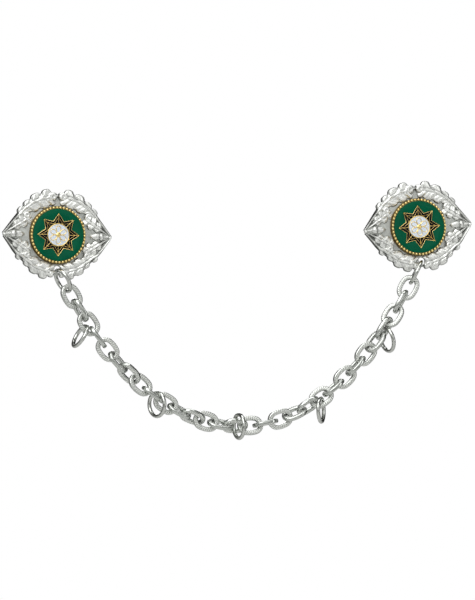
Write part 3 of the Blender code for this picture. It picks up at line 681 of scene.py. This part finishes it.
def makeLeaf(name, leaf, side):
    # a grid laid along the spine, raised into the rib, the lobes, their creases and their veins
    v = leafSizes
    tarnishAndShade = leafTarnishAndShade
    bpy.ops.mesh.primitive_grid_add(x_subdivisions=leaf["along"], y_subdivisions=leaf["across"], size=1.0)
    thing = newest(name)
    grid = corners(thing)
    share = np.clip(grid[:, 0] + 0.5, 0, 1)
    lean = np.clip(2 * grid[:, 1], -1, 1)
    q = np.abs(lean)  # 0 on the rib, 1 at the rim
    spine = [(side * a * v["halfLength"], b * v["halfHeight"]) for a, b in leaf["spine"]]
    points, ways = spineCurve(spine, share)
    sideways = np.stack([-ways[:, 1], ways[:, 0]], axis=1)
    sideways *= np.sign((sideways * points).sum(1))[:, None]
    isOuter = lean >= 0
    slanted = share + leaf["slant"] * (1 - q)
    reach, lobe, crown, veins = (
        np.where(isOuter, work(leaf, "outer", at), work(leaf, "inner", at))
        for work, at in ((edgeReach, share), (lobeShare, slanted), (lobeShare, share), (veinLines, slanted))
    )
    off = q * reach
    wide = np.clip(reach / v["fullReach"], 0, 1)
    edge = v["notchHeight"] + (v["lobeHeight"] - v["notchHeight"]) * crown
    height = v["ribHeight"] + (edge - v["ribHeight"]) * q ** v["fallPower"]
    height += v["dome"] * lobe * np.sin(np.pi * q ** v["domePower"]) * wide
    height -= v["crease"] * (1 - lobe) * np.sin(np.pi * q ** v["creasePower"]) * wide
    rib = np.exp(-(off / v["ribWidth"]) ** 2)
    fromGroove = off - v["grooveAway"] * v["ribWidth"]
    groove = v["grooveDepth"] * np.exp(-(fromGroove / v["ribWidth"]) ** 2)
    height += v["ribRidge"] * (rib - groove) * (1 - v["ribFade"] * share)
    window = np.clip((q - v["veinStart"]) / v["veinRise"], 0, 1)
    window = window * np.clip((v["veinEnd"] - q) / v["veinFall"], 0, 1) * wide
    height += v["vein"] * veins * window
    height -= v["shoulder"] * np.clip((q - v["shoulderStart"]) / v["shoulderWidth"], 0, 1) ** 2
    full = v["tipHeight"] + (1 - v["tipHeight"]) * np.clip(share / v["tipLength"], 0, 1)
    height = v["seat"] + (height - v["seat"]) * full
    height = np.maximum(height, v["foot"] + v["thinnest"])
    flat = points + sideways * (np.sign(lean) * off)[:, None]
    flat *= np.maximum(1, v["clear"] / np.hypot(flat[:, 0], flat[:, 1]))[:, None]
    moveCorners(thing, np.stack([flat[:, 0], -height, flat[:, 1]], axis=1))
    # tarnish and painted shade in the creases, painted shade in the veins, a painted dark line of shade round
    # the rim and painted shade in the groove beside the rib
    dark = np.where(isOuter, tarnishAndShade["outerCrease"] * (1 - lobe) ** tarnishAndShade["outerPower"],
                    tarnishAndShade["innerCrease"] * (1 - lobe) ** tarnishAndShade["innerPower"])
    dark *= np.clip(q * tarnishAndShade["creaseRise"], 0, 1)
    dark += tarnishAndShade["vein"] * np.clip(-veins, 0, 1) * window
    dark += tarnishAndShade["rim"] * np.clip((q - tarnishAndShade["rimStart"]) / tarnishAndShade["rimWidth"], 0, 1)
    line = np.exp(-(fromGroove / (tarnishAndShade["grooveWidth"] * v["ribWidth"])) ** 2)
    dark += tarnishAndShade["groove"] * line * np.clip(share * tarnishAndShade["grooveRise"], 0, 1)
    mark(thing, "patinaAndShade", np.clip(dark, 0, 1))
    # the rim goes down to the foot and is closed there
    editMode("EDGE", "DESELECT")
    bpy.ops.mesh.select_non_manifold()
    bpy.ops.mesh.extrude_edges_move()
    shape = bmesh.from_edit_mesh(thing.data)
    for corner in shape.verts:
        if corner.select:
            corner.co.y = -v["foot"]
    bmesh.update_edit_mesh(thing.data)
    bpy.ops.mesh.edge_face_add()
    objectMode()
    tidyNormals(thing)
    return finished(thing, "cast", degrees=40)


def makePlate():
    v = leafSizes
    right = [(a * v["halfLength"], b * v["halfHeight"]) for a, b in plateOutline]
    outline = right + [(-x, z) for x, z in reversed(right[1:-1])]
    plate = makeSlab("plate", outline, 0.0, v["seat"])
    roundEdges(plate, lambda at: at.y < -v["seat"] + near, v["plateEdge"], segments=2)
    return finished(plate, "plate", degrees=40)


def makeCurl(across, up, radius, depth):
    # a lobe end rolled into a knob, with a pit in the roll
    v = curlSizes
    bpy.ops.mesh.primitive_uv_sphere_add(
        segments=v["segments"], ring_count=v["rings"], radius=radius, rotation=toFront)
    curl = newest("curl")
    places = corners(curl)
    out = np.hypot(places[:, 0], places[:, 2]) / radius
    front = places[:, 1] < 0
    pit = np.exp(-(out / v["pit"]) ** 2) * front
    places[:, 1] = np.where(front, places[:, 1] * v["front"], places[:, 1] * v["back"]) + pit * depth
    places += np.array((across, -v["height"], up))
    moveCorners(curl, places)
    # painted shade in the pit and round the rim
    rim = np.clip(out - v["rimStart"], 0, 1) * v["curlRimShade"]
    mark(curl, "patinaAndShade", np.clip(pit * depth / mm + rim, 0, 1))
    curl.data.materials.append(finishes["cast"])
    return curl


acornSizes = {
    "point": 14.6 * mm, "length": 8.6 * mm, "radius": 1.45 * mm, "depth": 1.5 * mm, "steps": 28,
    "back": 0.4 * mm,  # flat at the back, inside the plate
    # painted shade in the groove under the cup's rim; the nut a little darker all over
    "grooveFrom": 0.48, "grooveTo": 0.56, "cupShade": 0.7, "nutDark": 0.1,  # under the cup's rim
    # from the point of the nut to the end of the stalk: shares of the length and of the radius
    "profile": ((0.0, 0.03), (0.03, 0.16), (0.06, 0.4), (0.12, 0.66), (0.2, 0.86), (0.3, 0.97), (0.4, 1.0),
                (0.5, 0.94), (0.53, 1.0), (0.56, 1.13), (0.62, 1.14), (0.68, 1.0), (0.72, 0.7), (0.76, 0.42),
                (0.88, 0.32), (1.0, 0.28)),
}


def makeAcorn(name, side):
    # a disc at the point, drawn out and widened ring by ring along the nut, the cup and the stalk
    v = acornSizes
    along, wide = v["profile"][0]
    bpy.ops.mesh.primitive_circle_add(
        vertices=v["steps"], radius=wide * v["radius"], fill_type="NGON",
        location=(side * v["point"], -v["depth"], 0), rotation=(0, math.pi / 2, 0))
    acorn = newest(name)
    editMode("FACE", "SELECT")
    for nextAlong, nextWide in v["profile"][1:]:
        drawOut(side * (nextAlong - along) * v["length"], 0, 0)
        middle = (side * (v["point"] + nextAlong * v["length"]), -v["depth"], 0)
        bpy.ops.transform.resize(value=(1, nextWide / wide, nextWide / wide), center_override=middle)
        along, wide = nextAlong, nextWide
    objectMode()
    tidyNormals(acorn)
    places = corners(acorn)
    x = (places[:, 0] * side - v["point"]) / v["length"]
    places[:, 1] = np.minimum(places[:, 1], -v["back"])
    moveCorners(acorn, places)
    # painted shade in the groove under the cup's rim
    inGroove = (x > v["grooveFrom"]) & (x < v["grooveTo"])
    mark(acorn, "patinaAndShade", np.where(inGroove, v["cupShade"], v["nutDark"]))
    return finished(acorn, "cast", degrees=40)


def cutHole(thing):
    # the hole under the medallion that the chain's connector ring goes through
    v = holeSizes
    bpy.ops.mesh.primitive_cylinder_add(
        vertices=v["corners"], radius=v["radius"], depth=v["length"],
        location=(v["across"], 0, -v["down"]), rotation=toFront)
    cutAway(thing, newest("hole"))
    return thing


def makeRosette():
    parts = [cutHole(makePlate())]
    for sideName, side in (("Right", 1), ("Left", -1)):
        for leafName, leaf in leaves.items():
            thing = makeLeaf(leafName + sideName, leaf, side)
            if leafName == "lower":
                cutHole(thing)
            parts.append(thing)
        parts.append(makeAcorn("acorn" + sideName, side))
        for across, up, radius, pit in curlSizes["places"]:
            parts.append(makeCurl(side * across * mm, up * mm, radius * mm, pit * mm))
    print("leaves made")
    return smooth(joined("rosette", parts), degrees=40)


# medallion: the same frame as the rosette

medallionSizes = {
    "radius": 12.5 * mm, "back": 1.6 * mm, "floor": 3.25 * mm, "front": 3.8 * mm, "wallTop": 3.95 * mm,
    # the gilt disc: how far it stays inside the radius, its rim, the sunk ground, its round edge, and how
    # far inside the radius that edge is looked for
    "discIn": 0.2 * mm, "rim": 0.9 * mm, "sunk": 0.12 * mm, "discEdge": 0.25 * mm, "edgeZone": 0.3 * mm,
    "beads": 50, "beadRadius": 0.55 * mm, "beadCircle": 11.95 * mm, "beadRise": 0.2 * mm,
    "collar": 12.72 * mm, "collarWire": 0.3 * mm, "collarRise": 0.2 * mm,
    # the star and the line inside it, then the hub with its flower, whose petals turn so many degrees
    # to each side
    "points": 8, "starTip": 9.375 * mm, "starWaist": 6.25 * mm, "innerLine": 1.0 * mm,
    "hub": 4.81 * mm, "boss": 1.25 * mm, "bossSunk": 0.35 * mm, "bossFlat": 0.6,
    "petals": 6, "petalTurn": 27, "petalGap": 0.9 * mm, "petalSteps": 24,
    "wall": 0.36 * mm, "line": 0.26 * mm, "wireSunk": 0.05 * mm,
    # the glass: the green ground's edge, the gap behind it, its lap under the wires and its round brim
    "ground": 11.38 * mm, "glassGap": 0.02 * mm, "glassLap": 0.03 * mm, "glassBrim": 0.1 * mm,
    "outlineSteps": 96, "discSteps": 128,
    # painted shade over the disc, a painted shadow line on the collar, and the height over which painted
    # shade fades on the wires and beads
    "discShade": 0.7, "collarShade": 0.85, "wireShade": 0.6, "wireFade": 0.1 * mm, "beadShadeTop": 0.75,
}


def ringPoint(radius, degrees):
    # measured clockwise from straight up
    return Vector((radius * math.sin(math.radians(degrees)), radius * math.cos(math.radians(degrees))))


def makeWire(name, points, width, closed):
    # a gilt line on the face: a wire along the points, sunk into the enamel for most of its depth
    v = medallionSizes
    path = bpy.data.curves.new(name, "CURVE")
    path.dimensions = "3D"
    path.bevel_depth = width / 2
    path.bevel_resolution = 2
    path.use_fill_caps = True
    spline = path.splines.new("POLY")
    spline.points.add(len(points) - 1)
    for place, point in zip(spline.points, points):
        place.co = (point[0], 0.0, point[1], 1.0)
    spline.use_cyclic_u = closed
    only(added(name, path))
    bpy.ops.object.convert(target="MESH")
    wire = newest(name)
    places = corners(wire)
    depth = v["wallTop"] - v["front"] + v["wireSunk"]
    places[:, 1] = places[:, 1] / (width / 2) * depth - (v["wallTop"] - depth)
    moveCorners(wire, places)
    # painted shade on the wire where it goes down into the enamel
    mark(wire, "patinaAndShade", np.clip((places[:, 1] + v["front"]) / v["wireFade"], 0, v["wireShade"]))
    return wire


def starOutline(grow):
    # the star's outline, its sides moved outwards by this much
    v = medallionSizes
    points = [ringPoint(v["starTip"] if step % 2 == 0 else v["starWaist"], 180 * step / v["points"])
              for step in range(2 * v["points"])]
    moved = []
    for before, here, after in zip(points[-1:] + points[:-1], points, points[1:] + points[:1]):
        first, second = (here - before).normalized(), (after - here).normalized()
        way = Vector((-first.y - second.y, first.x + second.x)).normalized()
        moved.append(here + way * grow / way.dot(Vector((-first.y, first.x))))
    return moved


def circleOutline(radius):
    steps = medallionSizes["outlineSteps"]
    return [ringPoint(radius, 360 * step / steps) for step in range(steps)]


def makeEnamel(name, outline, hollow):
    # glass that fills its cell up to the wires, with a rounded brim where it was stoned flush
    v = medallionSizes
    glass = makeSlab(name, outline, v["floor"] + v["glassGap"], v["front"])
    if hollow:
        beyond = 1 * mm
        cutAway(glass, makeSlab("cutter", hollow, v["floor"] - beyond, v["front"] + beyond))
    roundEdges(glass, lambda at: at.y < -v["front"] + near, v["glassBrim"], segments=3)
    return finished(glass, name, degrees=40)


def makeDisc():
    # the disc of the medallion, its face sunk inside a rim
    v = medallionSizes
    bpy.ops.mesh.primitive_cylinder_add(
        vertices=v["discSteps"], radius=v["radius"] - v["discIn"], depth=v["floor"] - v["back"],
        location=(0, -(v["floor"] + v["back"]) / 2, 0), rotation=toFront)
    disc = newest("disc")
    editMode("FACE", "DESELECT")
    shape = bmesh.from_edit_mesh(disc.data)
    for face in shape.faces:
        face.select_set(face.normal.y < -0.9)  # the front
    bmesh.update_edit_mesh(disc.data)
    bpy.ops.mesh.inset(thickness=v["rim"])
    drawOut(0, v["sunk"], 0)
    objectMode()
    roundEdges(disc, lambda at: at.y < -v["floor"] + near and at.xz.length > v["radius"] - v["edgeZone"],
               v["discEdge"], segments=3)
    # the whole disc darkened towards brown: painted shade
    mark(disc, "patinaAndShade", np.full(len(disc.data.vertices), v["discShade"]))
    return disc


def makeCollar():
    # the round edge behind the beads, dark brown: a painted shadow line round the medallion
    v = medallionSizes
    bpy.ops.mesh.primitive_torus_add(
        major_radius=v["collar"] - v["collarWire"], minor_radius=v["collarWire"],
        major_segments=v["discSteps"], minor_segments=12,
        location=(0, -v["back"] - v["collarRise"], 0), rotation=toFront)
    collar = newest("collar")
    mark(collar, "patinaAndShade", np.full(len(collar.data.vertices), v["collarShade"]))
    return collar


def makeBeads():
    v = medallionSizes
    bpy.ops.mesh.primitive_uv_sphere_add(segments=12, ring_count=8, radius=v["beadRadius"])
    bead = newest("bead")
    height = -corners(bead)[:, 1] / v["beadRadius"]
    # painted shade on the lower part of each bead, between the beads
    mark(bead, "patinaAndShade", np.clip(v["beadShadeTop"] - height, 0, 1) ** 2)
    beads = []
    for count in range(v["beads"]):
        at = ringPoint(v["beadCircle"], 360 * (count + 0.5) / v["beads"])
        beads.append(copied(bead, "bead", Matrix.Translation((at.x, -v["floor"] - v["beadRise"], at.y))))
    bpy.data.objects.remove(bead)
    return beads


def petalLine(turn):
    # one petal of the flower, out from the boss and back to it
    v = medallionSizes
    line = []
    for step in range(v["petalSteps"] + 1):
        t = math.pi * step / v["petalSteps"]
        reach = v["boss"] + (v["hub"] - v["petalGap"] - v["boss"]) * math.sin(t)
        line.append(ringPoint(reach, turn + v["petalTurn"] * math.cos(t)))
    return line


def makeGilt():
    # all that is gilt: the disc, the beads, the wires of the star, the hub and the flower, and the boss
    v = medallionSizes
    parts = [makeDisc(), makeCollar()] + makeBeads()
    parts.append(makeWire("starWire", starOutline(0.0), v["wall"], True))
    parts.append(makeWire("innerStarWire", starOutline(-v["innerLine"]), v["line"], True))
    parts.append(makeWire("hubWire", circleOutline(v["hub"]), v["wall"], True))
    for step in range(v["points"]):
        turn = 360 * step / v["points"]
        rib = [ringPoint(v["hub"], turn), ringPoint(v["starTip"], turn)]
        parts.append(makeWire("ribWire", rib, v["line"], False))
    for step in range(v["petals"]):
        parts.append(makeWire("petalWire", petalLine(360 * step / v["petals"]), v["wall"], False))
    bpy.ops.mesh.primitive_uv_sphere_add(
        segments=32, ring_count=16, radius=v["boss"], location=(0, -v["front"] + v["bossSunk"], 0),
        scale=(1.0, v["bossFlat"], 1.0))
    parts.append(newest("boss"))
    return finished(joined("gilt", parts), "gilt", degrees=45)


# pin on the back

pinSizes = {
    "length": 30.0 * mm, "wire": 1.2 * mm, "standoff": 3.0 * mm, "foot": 0.3 * mm, "rise": 6.0 * mm,
    "bend": 1.2 * mm, "corners": 16, "bendSteps": 8,
}


def makePin():
    # one wire that stands off the back, runs across it and comes back
    v = pinSizes
    half = v["length"] / 2
    straight = v["standoff"] - v["foot"] - v["bend"]
    bpy.ops.mesh.primitive_circle_add(
        vertices=v["corners"], radius=v["wire"] / 2, fill_type="NGON",
        location=(-half, v["foot"], v["rise"]), rotation=(-math.pi / 2, 0, 0))
    pin = newest("pin")
    editMode("FACE", "SELECT")
    drawOut(0, straight, 0)
    bpy.ops.mesh.spin(steps=v["bendSteps"], angle=math.pi / 2, axis=(0, 0, 1),
                      center=(-half + v["bend"], v["standoff"] - v["bend"], v["rise"]))
    drawOut(v["length"] - 2 * v["bend"], 0, 0)
    bpy.ops.mesh.spin(steps=v["bendSteps"], angle=math.pi / 2, axis=(0, 0, 1),
                      center=(half - v["bend"], v["standoff"] - v["bend"], v["rise"]))
    drawOut(0, -straight, 0)
    objectMode()
    tidyNormals(pin)
    return finished(pin, "steel", degrees=40)


broochTurns = {"left": 1.6, "right": -4.5}  # degrees, clockwise from the front


def placeBrooches():
    v = medallionSizes
    touch = v["wall"] / 2 - v["glassLap"]
    patterns = {
        "rosette": (makeRosette(), "silver"),
        "medallion": (makeGilt(), "gilding"),
        "brooch_pin": (makePin(), "pin_steel"),
        "enamel_green": (makeEnamel("green", circleOutline(v["ground"]), starOutline(touch)), "green_enamel"),
        "enamel_black": (makeEnamel("black", starOutline(-touch), circleOutline(v["hub"] + touch)),
                         "black_enamel"),
        "enamel_white": (makeEnamel("white", circleOutline(v["hub"] - touch), None), "white_enamel"),
    }
    for side, turn in broochTurns.items():
        low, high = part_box("medallion_" + side)
        middle = (low + high) / 2
        turned = Matrix.Rotation(math.radians(turn), 4, "Y")
        placement = Matrix.Translation((middle.x, 0.0, middle.z)) @ turned
        for name, (pattern, slot) in patterns.items():
            piece = copied(pattern, f"fine_{name}_{side}", placement)
            shown(piece, slot, f"{name}_{side}")
    for pattern, _ in patterns.values():
        bpy.data.objects.remove(pattern)
    print("brooches placed")


# studio

studio = {
    "azimuth": -16.0, "elevation": -4.0, "roll": 0.6,  # the camera's, in degrees
    "lens": 1000.0, "sensor": 36.0, "clipStart": 0.1, "clipEnd": 100.0,
    "mmPerPixel": 0.437, "pictureHeight": 600,
    "aimRight": 0.43, "aimDown": 68.54,  # the picture's middle from the origin, in pixels
    "backdrop": "#ffffff",
    # height up the tent (0 at the foot, 1 at the top) and its tone there
    "tent": ((0.0, "#a0a19f"), (0.2, "#1e1f1d"), (0.36, "#9a9b99"), (0.5, "#e0e1df"), (0.7, "#f4f5f3"),
             (1.0, "#b8b9b7")),
    "tentStrength": 0.97,
    # the tent is darker on the right and open at the back, which draws the dark edges of the metal
    "rightDim": {"From Min": 0.2, "From Max": 0.75, "To Min": 1.0, "To Max": 0.22},
    "backDim": {"From Min": -0.2, "From Max": 0.25, "To Min": 1.0, "To Max": 0.14},
    # where each softbox stands, its width and height in metres, and its watts; all look at one place
    "softboxes": {
        "keySoftbox": ((-0.7, -0.9, 0.9), (1.1, 1.1), 8.8),
        "fillSoftbox": ((0.9, -0.8, 0.1), (0.3, 0.9), 1.6),
        "backSoftbox": ((0.25, 1.1, 0.45), (0.5, 0.5), 2.4),
        "topSoftbox": ((0.0, -0.1, 1.1), (1.2, 0.5), 4.2),
    },
    "softboxAim": (0.0, 0.0, -0.04),
    "floorSize": 20.0, "floorDepth": 0.55, "floorDark": "#f4f4f2", "floorLight": "#fbfbfa",
    "floorGrain": 25 * mm, "floorRoughness": 0.7, "floorGlow": 0.42,
}


def makeCamera():
    v = studio
    turn, tilt, roll = (math.radians(v[key]) for key in ("azimuth", "elevation", "roll"))
    back = Vector((math.sin(turn) * math.cos(tilt), -math.cos(turn) * math.cos(tilt), math.sin(tilt)))
    right = Vector((math.cos(turn), math.sin(turn), 0.0))
    up = back.cross(right)
    right, up = right * math.cos(roll) - up * math.sin(roll), right * math.sin(roll) + up * math.cos(roll)
    step = v["mmPerPixel"] * mm
    aim = right * (v["aimRight"] * step) - up * (v["aimDown"] * step)
    far = step * v["pictureHeight"] * v["lens"] / v["sensor"]
    lens = bpy.data.cameras.new("camera")
    lens.lens = v["lens"]
    lens.sensor_width = v["sensor"]
    lens.clip_start = v["clipStart"]
    lens.clip_end = v["clipEnd"]
    camera = added("camera", lens)
    turned = Matrix((right, up, back)).transposed().to_4x4()
    camera.matrix_world = Matrix.Translation(aim + back * far) @ turned
    bpy.context.scene.camera = camera


def placeSoftboxes():
    for name, (place, size, power) in studio["softboxes"].items():
        light = bpy.data.lights.new(name, "AREA")
        light.shape = "RECTANGLE"
        light.size, light.size_y = size
        light.energy = power
        box = added(name, light)
        box.location = place
        way = Vector(studio["softboxAim"]) - Vector(place)
        box.rotation_euler = way.to_track_quat("-Z", "Y").to_euler()


def hangTent():
    # white paper behind the piece for the camera, and a grey tent round it for the metal to mirror
    v = studio
    world = bpy.data.worlds.new("studio")
    world.use_nodes = True
    bpy.context.scene.world = world
    tree = world.node_tree
    tree.nodes.clear()
    way = addNode(tree, "TexCoord").node.outputs["Generated"]
    axes = addNode(tree, "SeparateXYZ", {0: way}).node.outputs
    height = addNode(tree, "MapRange", {"Value": axes["Z"], "From Min": -1.0})
    ramp = addNode(tree, "ValToRGB", {0: height})
    stops = ramp.node.color_ramp.elements
    stops[0].color, stops[1].color = colour(v["tent"][0][1]), colour(v["tent"][-1][1])
    for at, text in v["tent"][1:-1]:
        stops.new(at).color = colour(text)
    rightDim = addNode(tree, "MapRange", {"Value": axes["X"], **v["rightDim"]})
    backDim = addNode(tree, "MapRange", {"Value": axes["Y"], **v["backDim"]})
    dim = addNode(tree, "Math", {0: rightDim, 1: backDim}, operation="MULTIPLY")
    tone = addNode(tree, "Mix", {0: 1.0, 6: ramp, 7: dim}, data_type="RGBA", blend_type="MULTIPLY")
    room = addNode(tree, "Background", {"Color": tone, "Strength": v["tentStrength"]})
    clean = addNode(tree, "Background", {"Color": colour(v["backdrop"]), "Strength": 1.0})
    seen = addNode(tree, "LightPath")  # 1 for the camera's own rays
    both = addNode(tree, "MixShader", {0: seen, 1: room, 2: clean})
    feed(tree, tree.nodes.new("ShaderNodeOutputWorld"), {"Surface": both})


def layFloor():
    # pale paper, lit from below as a light table is, for the camera alone
    v = studio
    bpy.ops.mesh.primitive_plane_add(size=v["floorSize"])
    floor = newest("floor")
    floor.location.z = -v["floorDepth"]
    material, tree, shader, place = startMaterial("paleStudioFloor")
    paper = addNode(tree, "TexNoise", {"Vector": place, "Scale": 1 / v["floorGrain"]})
    tone = addNode(tree, "Mix", {0: paper, 6: colour(v["floorDark"]), 7: colour(v["floorLight"])},
                   data_type="RGBA")
    seen = addNode(tree, "LightPath")  # 1 for the camera's own rays
    glow = addNode(tree, "Math", {0: seen, 1: v["floorGlow"]}, operation="MULTIPLY")
    feed(tree, shader, {
        "Base Color": tone, "Roughness": v["floorRoughness"], "Emission Color": tone,
        "Emission Strength": glow})
    floor.data.materials.append(material)


def makeStudio():
    bpy.context.scene.view_settings.view_transform = "Standard"
    hangTent()
    placeSoftboxes()
    layFloor()
    print("studio lit")


hangLinks()
hangRings()
placeBrooches()
makeCamera()
makeStudio()
